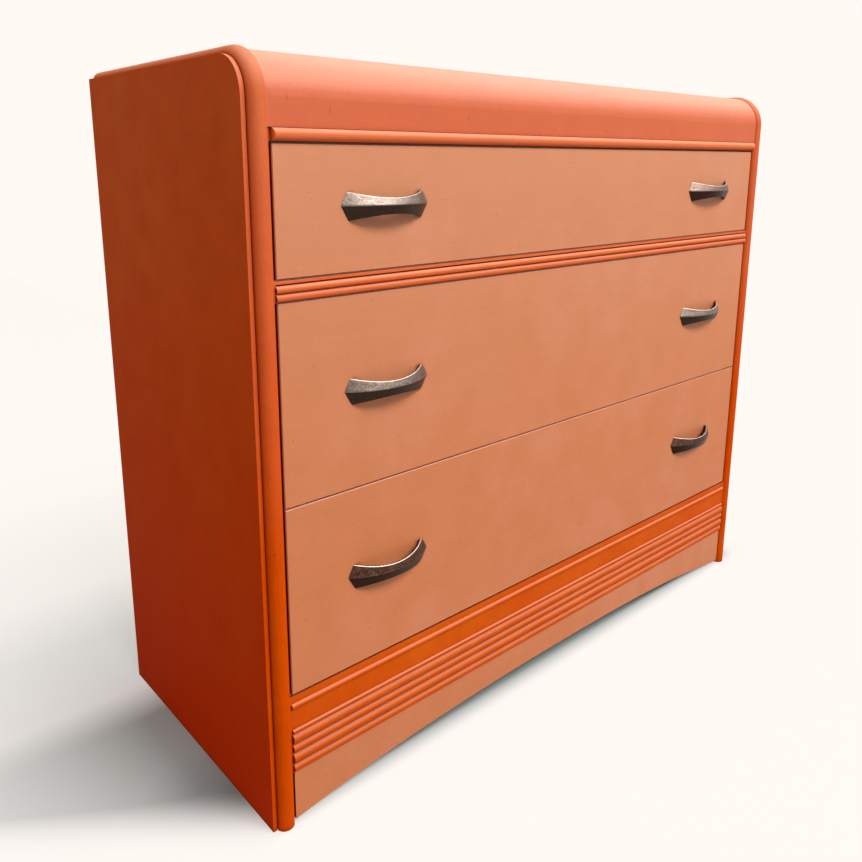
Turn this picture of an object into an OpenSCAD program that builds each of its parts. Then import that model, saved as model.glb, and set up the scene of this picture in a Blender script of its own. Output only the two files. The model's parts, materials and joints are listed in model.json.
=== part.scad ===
// Waterfall chest of three long drawers, painted, with bow handles.
// Millimetres. X runs to the right, Y to the back, Z up.
// The origin is on the floor, under the middle of the whole outline.
// The faces of the drawers look towards -Y.
// Inside the modules y = 0 is the plane of the drawer faces; at_face() moves it home.

/* [Overall] */
// Width over the two side faces
body_w = 914; // [880:2:960]
// Height to the crown of the edge mouldings
body_h = 789; // [770:1:810]

/* [Edge mouldings] */
// Width of the moulding across the edge of a side
edge_w = 25; // [25:0.5:28]
// Radius of its rounded nose
nose_r = 10; // [8:0.5:10]
// How far the nose stands in front of the drawers and above the top
nose_out = 5; // [3:0.5:6]
// Depth of the moulding from its crown
edge_deep = 21; // [21:0.5:24]
// Width of the flat fillet beside the nose
fillet_w = 4.4; // [3:0.2:4.6]
// How far the fillet lies behind the drawers and below the top
fillet_back = 3.5; // [3:0.5:4.5]
// Width of the sunk line between fillet and nose
quirk_w = 1.2; // [0.8:0.1:1.6]
// Depth of that line below the foot of the nose
quirk_deep = 2.5; // [1:0.5:3]

/* [Sides and top] */
// Thickness of the side panels
side_t = 18; // [16:0.5:18]
// Outer radius of the waterfall curve
fall_r = 40; // [30:1:44]
// Thickness of the bent top behind the plane of the drawer faces
top_t = 16; // [14:0.5:16]
// How far the bent top stands in front of that plane, all round its curve
sheet_out = 2.2; // [0:0.1:4]
// Height from the bottom of the bead to the top surface
fall_h = 78; // [70:1:84]
// Thickness of the plywood back
back_t = 5; // [4:0.5:6]
// How far the back panel reaches into each side
rebate_w = 9; // [6:0.5:10]
// Height of the back panel's lower edge above the floor
back_lift = 45; // [20:1:60]

/* [Front rails and mouldings] */
// Height of the round bead under the waterfall curve
bead_h = 12; // [10:0.5:14]
// Height of the rail between the top and the middle drawer
divider_h = 20; // [18:0.5:22]
// Height of each of its two reeds
divider_reed = 7.6; // [6:0.2:8]
// How far those reeds stand out
divider_reed_out = 2.6; // [1.5:0.1:3]
// Width of the flat line on top of the reeds
divider_fillet = 3.2; // [2:0.2:4]
// Thickness of the planted mouldings behind their reeds
plant_t = 3; // [2:0.5:4]
// Depth of the divider from front to back
divider_deep = 42; // [30:1:60]
// Height of a wide reed on the plinth
reed_wide = 12.7; // [11:0.1:14]
// How far a wide reed stands out
reed_wide_out = 3.4; // [2:0.1:4.5]
// Height of a narrow reed on the plinth
reed_thin = 10.2; // [8:0.1:11]
// How far a narrow reed stands out
reed_thin_out = 2.9; // [2:0.1:4]
// Height of the small bead under the flat band
low_bead = 5.2; // [4:0.1:6]
// Height of the flat band
band_h = 22.9; // [18:0.1:28]
// Height of the small bead over the flat band
high_bead = 7.1; // [5:0.1:8]
// How far both small beads stand out
small_bead_out = 2.2; // [1.5:0.1:2.5]
// Height of the flat strip under the lowest drawer
strip_h = 8.5; // [6:0.5:12]
// Slope cut on the ends of the bead under the waterfall
end_cut = 2.4; // [1:0.1:3]
// Slope cut on the ends of the reeds and small beads
reed_end_cut = 0.4; // [0:0.1:2]

/* [Apron and its blocks] */
// Height of the apron's two ends above the floor
apron_lift = 4; // [2:0.5:10]
// Height of the apron at its ends
apron_h = 57.5; // [50:0.5:70]
// Thickness of the apron
apron_t = 18; // [15:0.5:20]
// Rise of its arched lower edge
arch_rise = 24; // [10:1:32]
// Open joint between each end of the apron and the post
apron_gap = 0.8; // [0.3:0.1:2]
// Width of a glue block behind the apron
block_w = 70; // [40:1:120]
// Thickness of a glue block
block_t = 20; // [14:0.5:26]
// Distance from one glue block to the next
block_pitch = 260; // [180:5:300]
// Height of the glue blocks above the middle of the arch
block_up = 7.5; // [2:0.5:12]
// How far the glue blocks reach up behind the lower rail
block_over = 34; // [20:1:60]
// Section of the corner blocks
corner_w = 30; // [20:1:40]
// Height of the corner blocks above the floor
corner_lift = 3; // [1:0.5:8]

/* [Rails behind the top and back] */
// Thickness of the rail behind the waterfall
top_rail_t = 18; // [14:0.5:22]
// Clear height between that rail and the start of the curve
top_rail_clear = 4; // [2:0.5:12]
// Section of the cleats under the top
cleat_w = 18; // [14:0.5:24]
// Distance from the start of the flat top to a cleat
cleat_start = 12; // [0:1:40]
// Gap between a cleat and the rail at the back
cleat_gap = 4; // [0:0.5:20]
// Thickness of the two rails at the back
back_rail_t = 18; // [14:0.5:22]
// Height of the upper rail at the back
top_back_h = 40; // [30:1:60]
// Height of the lower rail at the back
low_back_h = 45; // [30:1:70]

/* [Drawers] */
// Height of the lowest drawer front, before the three are fitted to the body
low_h = 203.7; // [160:0.1:240]
// Height of the middle drawer front, likewise
mid_h = 203.3; // [160:0.1:240]
// Height of the top drawer front, likewise
top_h = 122.2; // [90:0.1:160]
// Thickness of the drawer fronts
front_t = 18; // [16:0.5:20]
// Open joint at each end of a drawer front
end_gap = 1.5; // [0.8:0.1:3]
// Open joint over and under the middle drawer front
rise_gap = 1; // [0.6:0.1:2]
// Open joint over the top drawer front
over_gap = 1.3; // [0.6:0.1:2]
// Open joint under the lowest drawer front
under_gap = 1.5; // [0.6:0.1:2]
// Width of the flat cut on the front edges of a drawer front
ease = 0.9; // [0.4:0.1:2]
// Thickness of the drawer sides
box_t = 12; // [10:0.5:14]
// Thickness of the drawer backs
box_back_t = 10; // [8:0.5:12]
// How far the drawer back stops below the drawer sides
box_back_drop = 5; // [0:0.5:20]
// Distance from the drawer back to the back end of the drawer sides
box_back_set = 12; // [10:0.5:20]
// Depth of the housings for the drawer back
housing_in = 4; // [2:0.5:5]
// Distance from the drawer face to the back end of the drawer sides
box_d = 328; // [290:1:380]
// Clear depth between the drawer sides and the back panel
box_clear = 25; // [10:1:60]
// How far the drawer sides stop below the top of their front
box_drop = 9; // [6:0.5:20]
// How far the drawer sides start above the bottom of their front
box_rise = 3.5; // [2:0.5:8]
// Thickness of the plywood bottoms
bottom_t = 4; // [3:0.5:5]
// Height of the bottom's underside above the edge of the drawer side
bottom_up = 8; // [6:0.5:12]
// Depth of the grooves that hold the bottom
bottom_in = 4.5; // [3:0.5:4.5]
// Distance from the back edge of the bottom to the end of the drawer sides
bottom_set = 8; // [4:0.5:9]
// Wood left in front of the dovetails
lap = 6; // [4:0.5:8]
// Width of a dovetail at its root
tail_root = 18; // [12:0.5:20]
// How much wider a dovetail is at its tip
tail_flare = 5; // [3:0.5:6]
// Height of drawer side that one dovetail takes
tail_pitch = 38; // [30:1:60]
// Width of the bearer under a drawer bottom
bearer_w = 40; // [30:1:60]

/* [Runners] */
// Height of a runner
runner_h = 16; // [12:0.5:20]
// Depth of the runner groove in a drawer side
groove_in = 7; // [5:0.5:7]
// Play between runner and groove on each face
runner_play = 0.4; // [0.2:0.05:0.8]
// Distance from a runner's end to its outer screws
runner_screw_in = 42; // [20:1:60]
// Radius of a runner screw
runner_screw_r = 2; // [1.5:0.1:2.5]
// Radius of its head
runner_head_r = 4; // [3.2:0.1:5]
// Length of a runner screw
runner_screw_l = 22; // [18:0.5:26]
// Depth of its countersink
runner_sink = 2.4; // [1.6:0.1:3]

/* [Handles] */
// Length of a handle where it meets the drawer
handle_l = 110; // [100:1:120]
// How far a handle stands out
handle_out = 20; // [18:0.5:26]
// Height of a handle at its ends
handle_end_h = 28; // [24:0.5:32]
// Height of a handle in its middle
handle_mid_h = 16; // [14:0.5:20]
// How far the fold of the strip falls back for each millimetre of height
handle_fold = 0.35; // [0.2:0.01:0.5]
// Thickness of the strip
handle_t = 2.3; // [2:0.1:3]
// Distance between the two screws of a handle
handle_screws = 76; // [64:1:80]
// Radius of the screw bosses
boss_r = 3.6; // [3.4:0.1:4]
// Radius of a handle screw
screw_r = 2; // [1.5:0.1:2.2]
// How far a handle screw reaches into its boss
screw_bite = 5.5; // [4:0.1:6]
// Radius of its head
screw_head_r = 4.2; // [3.4:0.1:5]
// Height of its head
screw_head_h = 2.2; // [1.6:0.1:3]
// Width of the slot in a screw head
slot_w = 1.1; // [0.8:0.1:1.4]
// Distance from the left end of a drawer front to the middle of its left handle
handle_left_x = 128; // [90:0.5:180]
// Distance from the right end of a drawer front to the middle of its right handle
handle_right_x = 119.5; // [90:0.5:180]
// Height of the handles above the middle of their drawer front
handle_up = 2.5; // [-20:0.5:20]

/* [Hidden] */
$fn = 96;
half = body_w / 2;
// how flat the arch of the apron is: 2 would be a parabola
arch_power = 2.5;
slot_deep = 1;
// back of the body, measured from the drawer faces
back_in = box_d + box_clear;
back_y = back_in + back_t;
// plane of the drawer faces, with the handles in front of it and the body behind it
face_y = -(back_y - handle_out) / 2;
top_z = body_h - nose_out;
// centre of the waterfall curve, the same for top, mouldings and side panels
turn_z = top_z - fall_r;
post_in = half - edge_w;
side_in = half - side_t;
edge_back = edge_deep - nose_out;
under_top = top_z - top_t;
clear_w = 2 * post_in;
// heights of the front, from the floor up
apron_top = apron_lift + apron_h;
reed_h = 2 * reed_wide + 2 * reed_thin;
frieze_z = apron_top + reed_h;
frieze_h = low_bead + band_h + high_bead + strip_h;
low_z = frieze_z + frieze_h + under_gap;
bead_z = top_z - fall_h;
fronts_h = bead_z - over_gap - low_z - divider_h - 3 * rise_gap;
front_fit = fronts_h / (low_h + mid_h + top_h);
low_front_h = low_h * front_fit;
mid_front_h = mid_h * front_fit;
top_front_h = top_h * front_fit;
mid_z = low_z + low_front_h + rise_gap;
divider_z = mid_z + mid_front_h + rise_gap;
top_drawer_z = divider_z + divider_h + rise_gap;
front_half = post_in - end_gap;
handle_xs = [handle_left_x - front_half, front_half - handle_right_x];
// the drawer boxes
box_in = front_half - box_t;
box_back_y = box_d - box_back_set - box_back_t;
groove_floor = front_half - groove_in;
runner_tip = groove_floor + runner_play;
runner_y = front_t + runner_play;
runner_end = box_d + 4;
screw_first = runner_y + runner_screw_in;
screw_last = runner_end - runner_screw_in;
screw_ys = [screw_first, (screw_first + screw_last) / 2, screw_last];
// the handle's bow
bow_r = (handle_l * handle_l / 4 + handle_out * handle_out) / (2 * handle_out);
bow_y = bow_r - handle_out;
boss_h = sqrt(bow_r * bow_r - pow(handle_screws / 2 + boss_r, 2)) - bow_y - 0.6;
waist = (handle_end_h - handle_mid_h) / 2;
waist_chord = handle_l - 16;
waist_r = (waist_chord * waist_chord / 4 + waist * waist) / (2 * waist);
paint = [0.85, 0.40, 0.22];
paint_pale = [0.83, 0.55, 0.41];
raw_wood = [0.80, 0.66, 0.46];
ply = [0.76, 0.60, 0.40];
bronze = [0.36, 0.29, 0.24];
steel = [0.62, 0.61, 0.58];

// Radius of a reed from its height and how far it stands out
function reed_r(h, out) = (h * h / 4 + out * out) / (2 * out);

// Heights of the two drawer box edges and of the runner, for a front at z with height h
function box_z(z) = z + box_rise;
function box_h(h) = h - box_rise - box_drop;
function runner_z(z, h) = box_z(z) + box_h(h) * 0.56 - runner_h / 2;

// Number of dovetails on a drawer side
function tails(h) = max(2, round(box_h(h) / tail_pitch));

module at_face() {
    translate([0, face_y, 0])
        children();
}

// A block from two opposite corners
module block(a, b) {
    translate(a)
        cube(b - a);
}

// A profile drawn in y and z, run along x, centred
module run_x(length) {
    translate([-length / 2, 0, 0])
        rotate([90, 0, 90])
            linear_extrude(length)
                children();
}

// Plan that slopes the ends of a planted moulding back to the posts
module end_plan(length, out, deep, slope) {
    cut = min(out, slope);
    polygon([
        [-length / 2, deep], [-length / 2, 0], [-length / 2 + cut, -out],
        [length / 2 - cut, -out], [length / 2, 0], [length / 2, deep]
    ]);
}

// One reed in y and z, its foot at z with height h
module reed(z, h, out) {
    r = reed_r(h, out);
    intersection() {
        translate([r - out, z + h / 2])
            circle(r);
        translate([-out - 1, z])
            square([out + 1, h]);
    }
}

// Section of the edge moulding: x from the outer face, y outwards from the body
module edge_section() {
    difference() {
        union() {
            translate([0, -edge_back])
                square([edge_w, edge_back + nose_out - nose_r]);
            translate([0, -edge_back])
                square([fillet_w, edge_back - fillet_back]);
            translate([edge_w - nose_r, nose_out - nose_r])
                circle(nose_r);
        }
        translate([fillet_w, nose_out - nose_r - quirk_deep])
            square([quirk_w, quirk_deep + 1.2]);
    }
}

// Moulding that runs up the front edge, round the curve and back along the top
module edge_moulding() {
    // front run
    translate([-half, 0, 0])
        mirror([0, 1, 0])
            linear_extrude(turn_z)
                edge_section();
    // curve
    translate([-half, fall_r, turn_z])
        rotate([0, 90, 0])
            rotate([0, 0, 180])
                rotate_extrude(angle = 90)
                    translate([fall_r, 0])
                        rotate([0, 0, 90])
                            mirror([0, 1, 0])
                                edge_section();
    // top run
    translate([-half, fall_r, top_z])
        rotate([90, 0, 0])
            mirror([0, 0, 1])
                linear_extrude(back_y - fall_r)
                    edge_section();
}

module edge_moulding_left() {
    color(paint)
        at_face()
            edge_moulding();
}

module edge_moulding_right() {
    color(paint)
        at_face()
            mirror([1, 0, 0])
                edge_moulding();
}

// Holes of the runner screws, for one runner
module runner_holes(z, h) {
    for (y = screw_ys)
        translate([-runner_tip, y, runner_z(z, h) + runner_h / 2])
            rotate([0, -90, 0]) {
                cylinder(r = runner_screw_r, h = runner_screw_l);
                cylinder(r1 = runner_head_r, r2 = runner_screw_r, h = runner_sink);
            }
}

module all_runner_holes() {
    runner_holes(top_drawer_z, top_front_h);
    runner_holes(mid_z, mid_front_h);
    runner_holes(low_z, low_front_h);
}

// Side panel with rounded top front corner and a rebate for the back
module side_panel() {
    inner_r = fall_r - edge_back;
    difference() {
        translate([-half, 0, 0])
            rotate([90, 0, 90])
                linear_extrude(side_t)
                    union() {
                        translate([edge_back, 0])
                            square([back_y - edge_back, turn_z]);
                        translate([fall_r, 0])
                            square([back_y - fall_r, turn_z + inner_r]);
                        translate([fall_r, turn_z])
                            circle(inner_r);
                    }
        block([-side_in - rebate_w, back_in, -1], [-side_in + 1, back_y + 1, body_h]);
        all_runner_holes();
    }
}

module side_left() {
    color(paint)
        at_face()
            side_panel();
}

module side_right() {
    color(paint)
        at_face()
            mirror([1, 0, 0])
                side_panel();
}

// Top bent over the front in one sheet, from the back edge to the bottom of the bead
module waterfall_top() {
    color(paint)
        at_face()
            run_x(clear_w)
                union() {
                    translate([0, bead_z])
                        square([top_t, turn_z - bead_z]);
                    translate([-sheet_out, bead_z + bead_h])
                        square([sheet_out + top_t, turn_z - bead_z - bead_h]);
                    difference() {
                        translate([fall_r, turn_z])
                            circle(fall_r + sheet_out);
                        translate([fall_r, turn_z])
                            circle(fall_r - top_t);
                        translate([fall_r, turn_z - 2 * fall_r])
                            square([2 * fall_r, 4 * fall_r]);
                        translate([-fall_r, turn_z - 2 * fall_r])
                            square([4 * fall_r, 2 * fall_r]);
                    }
                    translate([fall_r, under_top])
                        square([back_y - fall_r, top_t + sheet_out]);
                }
}

// Half round across the foot of the waterfall, its ends cut back to the posts
module top_bead() {
    color(paint)
        at_face()
            intersection() {
                run_x(clear_w)
                    translate([0, bead_z])
                        reed(0, bead_h, bead_h / 2);
                linear_extrude(body_h)
                    end_plan(clear_w, bead_h / 2, 1, end_cut);
            }
}

// Rail behind the straight foot of the waterfall, notched round the mouldings if it meets them
module top_front_rail() {
    rail_top = turn_z - top_rail_clear;
    color(raw_wood)
        at_face() {
            block([-post_in, top_t, bead_z], [post_in, top_t + top_rail_t, rail_top]);
            block([-side_in, max(top_t, edge_back), bead_z], [side_in, top_t + top_rail_t, rail_top]);
        }
}

module top_cleat() {
    block([-side_in, fall_r + cleat_start, under_top - cleat_w],
        [-side_in + cleat_w, back_in - back_rail_t - cleat_gap, under_top]);
}

module top_cleat_left() {
    color(raw_wood)
        at_face()
            top_cleat();
}

module top_cleat_right() {
    color(raw_wood)
        at_face()
            mirror([1, 0, 0])
                top_cleat();
}

module top_back_rail() {
    color(raw_wood)
        at_face()
            block([-side_in, back_in - back_rail_t, under_top - top_back_h], [side_in, back_in, under_top]);
}

// Rail between the top and the middle drawer, notched round the posts
module divider_rail() {
    color(raw_wood)
        at_face() {
            block([-post_in, plant_t, divider_z], [post_in, edge_back, divider_z + divider_h]);
            block([-side_in, edge_back, divider_z], [side_in, plant_t + divider_deep, divider_z + divider_h]);
        }
}

// Two reeds, a sunk line and a flat line planted on the divider
module divider_moulding() {
    color(paint)
        at_face()
            intersection() {
                run_x(clear_w)
                    difference() {
                        union() {
                            translate([0, divider_z])
                                square([plant_t, divider_h]);
                            translate([0, divider_z])
                                reed(0, divider_reed, divider_reed_out);
                            translate([0, divider_z])
                                reed(divider_reed, divider_reed, divider_reed_out);
                        }
                        translate([-1, divider_z + 2 * divider_reed])
                            square([2.4, divider_h - 2 * divider_reed - divider_fillet]);
                    }
                linear_extrude(body_h)
                    end_plan(clear_w, divider_reed_out, plant_t, reed_end_cut);
            }
}

// Rail behind the reeds and the band, flush with the back of the apron
module lower_rail() {
    color(raw_wood)
        at_face()
            block([-post_in, plant_t, apron_top], [post_in, apron_t, frieze_z + frieze_h]);
}

// Flat band with a small bead under and over it, and a plain strip on top
module frieze_moulding() {
    color(paint)
        at_face()
            intersection() {
                run_x(clear_w)
                    union() {
                        translate([0, frieze_z])
                            square([plant_t, frieze_h]);
                        translate([0, frieze_z])
                            reed(0, low_bead, small_bead_out);
                        translate([0, frieze_z])
                            reed(low_bead + band_h, high_bead, small_bead_out);
                    }
                linear_extrude(body_h)
                    end_plan(clear_w, small_bead_out, plant_t, reed_end_cut);
            }
}

// Four reeds under the band, wide and narrow by turns
module reeded_moulding() {
    color(paint)
        at_face()
            intersection() {
                run_x(clear_w)
                    union() {
                        translate([0, apron_top])
                            square([plant_t, reed_h]);
                        translate([0, apron_top])
                            reed(0, reed_thin, reed_thin_out);
                        translate([0, apron_top])
                            reed(reed_thin, reed_wide, reed_wide_out);
                        translate([0, apron_top])
                            reed(reed_thin + reed_wide, reed_thin, reed_thin_out);
                        translate([0, apron_top])
                            reed(2 * reed_thin + reed_wide, reed_wide, reed_wide_out);
                    }
                linear_extrude(body_h)
                    end_plan(clear_w, reed_wide_out, plant_t, reed_end_cut);
            }
}

// Apron with an arched lower edge, flatter in the middle than a circle
module apron() {
    steps = 32;
    apron_half = post_in - apron_gap;
    arch = [for (i = [0 : steps])
        let (t = 1 - 2 * i / steps)
        [t * apron_half, apron_lift + arch_rise * (1 - pow(abs(t), arch_power))]];
    color(paint_pale)
        at_face()
            rotate([90, 0, 0])
                translate([0, 0, -apron_t])
                    linear_extrude(apron_t)
                        polygon(concat([[-apron_half, apron_top], [apron_half, apron_top]], arch));
}

// Blocks glued behind the apron and the lower rail
module apron_blocks() {
    color(raw_wood)
        at_face()
            for (x = [-block_pitch, 0, block_pitch])
                block([x - block_w / 2, apron_t, apron_lift + arch_rise + block_up],
                    [x + block_w / 2, apron_t + block_t, apron_top + block_over]);
}

module corner_block() {
    block([-side_in, apron_t, corner_lift], [-side_in + corner_w, apron_t + corner_w, frieze_z + frieze_h]);
}

module corner_block_left() {
    color(raw_wood)
        at_face()
            corner_block();
}

module corner_block_right() {
    color(raw_wood)
        at_face()
            mirror([1, 0, 0])
                corner_block();
}

module back_panel() {
    color(ply)
        at_face()
            block([-side_in - rebate_w, back_in, back_lift], [side_in + rebate_w, back_y, under_top]);
}

module bottom_back_rail() {
    color(raw_wood)
        at_face()
            block([-side_in, back_in - back_rail_t, back_lift], [side_in, back_in, back_lift + low_back_h]);
}

// Runner on the inner face of a side, for a drawer front at z with height h
module runner(z, h) {
    difference() {
        block([-side_in, runner_y, runner_z(z, h)], [-runner_tip, runner_end, runner_z(z, h) + runner_h]);
        runner_holes(z, h);
    }
}

module top_runner_left() {
    color(raw_wood)
        at_face()
            runner(top_drawer_z, top_front_h);
}

module top_runner_right() {
    color(raw_wood)
        at_face()
            mirror([1, 0, 0])
                runner(top_drawer_z, top_front_h);
}

module middle_runner_left() {
    color(raw_wood)
        at_face()
            runner(mid_z, mid_front_h);
}

module middle_runner_right() {
    color(raw_wood)
        at_face()
            mirror([1, 0, 0])
                runner(mid_z, mid_front_h);
}

module low_runner_left() {
    color(raw_wood)
        at_face()
            runner(low_z, low_front_h);
}

module low_runner_right() {
    color(raw_wood)
        at_face()
            mirror([1, 0, 0])
                runner(low_z, low_front_h);
}

// Slot across a screw head of radius r whose face is at z = 0
module screw_slot(r) {
    translate([-r - 1, -slot_w / 2, -1])
        cube([2 * r + 2, slot_w, 1 + slot_deep]);
}

// Countersunk screws of one runner, slots across the heads
module runner_screw_set(z, h) {
    for (y = screw_ys)
        translate([-runner_tip, y, runner_z(z, h) + runner_h / 2])
            rotate([0, -90, 0])
                difference() {
                    union() {
                        cylinder(r = runner_screw_r, h = runner_screw_l);
                        cylinder(r1 = runner_head_r, r2 = runner_screw_r, h = runner_sink);
                    }
                    screw_slot(runner_head_r);
                }
}

module runner_screw_sets() {
    runner_screw_set(top_drawer_z, top_front_h);
    runner_screw_set(mid_z, mid_front_h);
    runner_screw_set(low_z, low_front_h);
}

module runner_screws_left() {
    color(steel)
        at_face()
            runner_screw_sets();
}

module runner_screws_right() {
    color(steel)
        at_face()
            mirror([1, 0, 0])
                runner_screw_sets();
}

// Dovetails at the front end of a drawer side, drawn in y and z
module tail_row(z, h) {
    n = tails(h);
    pitch = box_h(h) / n;
    for (i = [0 : n - 1])
        translate([0, box_z(z) + pitch * (i + 0.5)])
            polygon([
                [front_t, -tail_root / 2], [front_t, tail_root / 2],
                [lap, (tail_root + tail_flare) / 2], [lap, -(tail_root + tail_flare) / 2]
            ]);
}

// Drawer front at z with height h: eased edges, sockets, bottom groove, screw holes
module drawer_front(z, h) {
    difference() {
        intersection() {
            linear_extrude(body_h)
                polygon([
                    [-front_half, front_t], [-front_half, ease], [-front_half + ease, 0],
                    [front_half - ease, 0], [front_half, ease], [front_half, front_t]
                ]);
            run_x(body_w)
                polygon([
                    [front_t, z], [ease, z], [0, z + ease],
                    [0, z + h - ease], [ease, z + h], [front_t, z + h]
                ]);
        }
        for (s = [0, 1])
            mirror([s, 0, 0])
                translate([-front_half - 1, 0, 0])
                    rotate([90, 0, 90])
                        linear_extrude(box_t + 1)
                            tail_row(z, h);
        block([-box_in, front_t - bottom_in, box_z(z) + bottom_up],
            [box_in, front_t + 1, box_z(z) + bottom_up + bottom_t]);
        for (x = handle_xs)
            for (s = [-1, 1])
                translate([x + s * handle_screws / 2, -1, z + h / 2 + handle_up])
                    rotate([-90, 0, 0])
                        cylinder(r = screw_r, h = front_t + 2);
    }
}

// Left drawer side: dovetails, runner groove, bottom groove and housing for the back
module drawer_side(z, h) {
    difference() {
        translate([-front_half, 0, 0])
            rotate([90, 0, 90])
                linear_extrude(box_t)
                    union() {
                        translate([front_t, box_z(z)])
                            square([box_d - front_t, box_h(h)]);
                        tail_row(z, h);
                    }
        block([-front_half - 1, front_t, runner_z(z, h) - runner_play],
            [-groove_floor, box_d + 1, runner_z(z, h) + runner_h + runner_play]);
        block([-box_in - bottom_in, front_t, box_z(z) + bottom_up],
            [-box_in + 1, box_d + 1, box_z(z) + bottom_up + bottom_t]);
        block([-box_in - housing_in, box_back_y, box_z(z) + bottom_up + bottom_t],
            [-box_in + 1, box_back_y + box_back_t, z + h]);
    }
}

// Drawer back, standing on the bottom and let into both sides
module drawer_back(z, h) {
    block([-box_in - housing_in, box_back_y, box_z(z) + bottom_up + bottom_t],
        [box_in + housing_in, box_back_y + box_back_t, box_z(z) + box_h(h) - box_back_drop]);
}

// Plywood bottom in the grooves of front and sides
module drawer_bottom(z) {
    block([-box_in, front_t - bottom_in, box_z(z) + bottom_up],
        [box_in, front_t, box_z(z) + bottom_up + bottom_t]);
    block([-box_in - bottom_in, front_t, box_z(z) + bottom_up],
        [box_in + bottom_in, box_d - bottom_set, box_z(z) + bottom_up + bottom_t]);
}

// Bearer under the middle of the bottom
module drawer_bearer(z) {
    block([-bearer_w / 2, front_t, box_z(z)], [bearer_w / 2, box_d - bottom_set, box_z(z) + bottom_up]);
}

// Section of the folded strip, its ridge at radius r
module fold_section(r) {
    s = handle_end_h / 2 + 1;
    polygon([
        [r - handle_fold * s, -s], [r, 0], [r - handle_fold * s, s],
        [r - handle_t - handle_fold * s, s], [r - handle_t, 0], [r - handle_t - handle_fold * s, -s]
    ]);
}

// Front view of a handle: ends full height, concave edges between
module bow_outline() {
    difference() {
        square([2 * handle_l, handle_end_h], center = true);
        translate([0, handle_mid_h / 2 + waist_r])
            circle(waist_r);
        translate([0, -handle_mid_h / 2 - waist_r])
            circle(waist_r);
    }
}

// Bow handle of folded strip, waisted in the middle, with two bosses behind it
module bow_handle(x, z) {
    translate([x, 0, z])
        difference() {
            union() {
                intersection() {
                    translate([0, bow_y, 0])
                        rotate([0, 0, 225])
                            rotate_extrude(angle = 90)
                                fold_section(bow_r);
                    rotate([90, 0, 0])
                        linear_extrude(2 * handle_out)
                            bow_outline();
                }
                for (side = [-1, 1])
                    translate([side * handle_screws / 2, 0, 0])
                        rotate([90, 0, 0])
                            cylinder(r = boss_r, h = boss_h);
            }
            for (side = [-1, 1])
                translate([side * handle_screws / 2, 1, 0])
                    rotate([90, 0, 0])
                        cylinder(r = screw_r, h = screw_bite + 1.5);
        }
}

// The four screws of a drawer's handles, put in from inside the drawer
module handle_screw_set(z) {
    for (x = handle_xs)
        for (side = [-1, 1])
            translate([x + side * handle_screws / 2, front_t, z])
                difference() {
                    union() {
                        rotate([90, 0, 0])
                            cylinder(r = screw_r, h = front_t + screw_bite);
                        rotate([-90, 0, 0])
                            cylinder(r1 = screw_head_r, r2 = screw_head_r * 0.8, h = screw_head_h);
                    }
                    translate([0, screw_head_h, 0])
                        rotate([90, 0, 0])
                            screw_slot(screw_head_r);
                }
}

// Top drawer
module top_drawer_front() {
    color(paint_pale)
        at_face()
            drawer_front(top_drawer_z, top_front_h);
}

module top_drawer_side_left() {
    color(raw_wood)
        at_face()
            drawer_side(top_drawer_z, top_front_h);
}

module top_drawer_side_right() {
    color(raw_wood)
        at_face()
            mirror([1, 0, 0])
                drawer_side(top_drawer_z, top_front_h);
}

module top_drawer_back() {
    color(raw_wood)
        at_face()
            drawer_back(top_drawer_z, top_front_h);
}

module top_drawer_bottom() {
    color(ply)
        at_face()
            drawer_bottom(top_drawer_z);
}

module top_drawer_bearer() {
    color(raw_wood)
        at_face()
            drawer_bearer(top_drawer_z);
}

module top_handle_left() {
    color(bronze)
        at_face()
            bow_handle(handle_xs[0], top_drawer_z + top_front_h / 2 + handle_up);
}

module top_handle_right() {
    color(bronze)
        at_face()
            bow_handle(handle_xs[1], top_drawer_z + top_front_h / 2 + handle_up);
}

module top_handle_screws() {
    color(steel)
        at_face()
            handle_screw_set(top_drawer_z + top_front_h / 2 + handle_up);
}

// Middle drawer
module middle_drawer_front() {
    color(paint_pale)
        at_face()
            drawer_front(mid_z, mid_front_h);
}

module middle_drawer_side_left() {
    color(raw_wood)
        at_face()
            drawer_side(mid_z, mid_front_h);
}

module middle_drawer_side_right() {
    color(raw_wood)
        at_face()
            mirror([1, 0, 0])
                drawer_side(mid_z, mid_front_h);
}

module middle_drawer_back() {
    color(raw_wood)
        at_face()
            drawer_back(mid_z, mid_front_h);
}

module middle_drawer_bottom() {
    color(ply)
        at_face()
            drawer_bottom(mid_z);
}

module middle_drawer_bearer() {
    color(raw_wood)
        at_face()
            drawer_bearer(mid_z);
}

module middle_handle_left() {
    color(bronze)
        at_face()
            bow_handle(handle_xs[0], mid_z + mid_front_h / 2 + handle_up);
}

module middle_handle_right() {
    color(bronze)
        at_face()
            bow_handle(handle_xs[1], mid_z + mid_front_h / 2 + handle_up);
}

module middle_handle_screws() {
    color(steel)
        at_face()
            handle_screw_set(mid_z + mid_front_h / 2 + handle_up);
}

// Lowest drawer
module low_drawer_front() {
    color(paint_pale)
        at_face()
            drawer_front(low_z, low_front_h);
}

module low_drawer_side_left() {
    color(raw_wood)
        at_face()
            drawer_side(low_z, low_front_h);
}

module low_drawer_side_right() {
    color(raw_wood)
        at_face()
            mirror([1, 0, 0])
                drawer_side(low_z, low_front_h);
}

module low_drawer_back() {
    color(raw_wood)
        at_face()
            drawer_back(low_z, low_front_h);
}

module low_drawer_bottom() {
    color(ply)
        at_face()
            drawer_bottom(low_z);
}

module low_drawer_bearer() {
    color(raw_wood)
        at_face()
            drawer_bearer(low_z);
}

module low_handle_left() {
    color(bronze)
        at_face()
            bow_handle(handle_xs[0], low_z + low_front_h / 2 + handle_up);
}

module low_handle_right() {
    color(bronze)
        at_face()
            bow_handle(handle_xs[1], low_z + low_front_h / 2 + handle_up);
}

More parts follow.
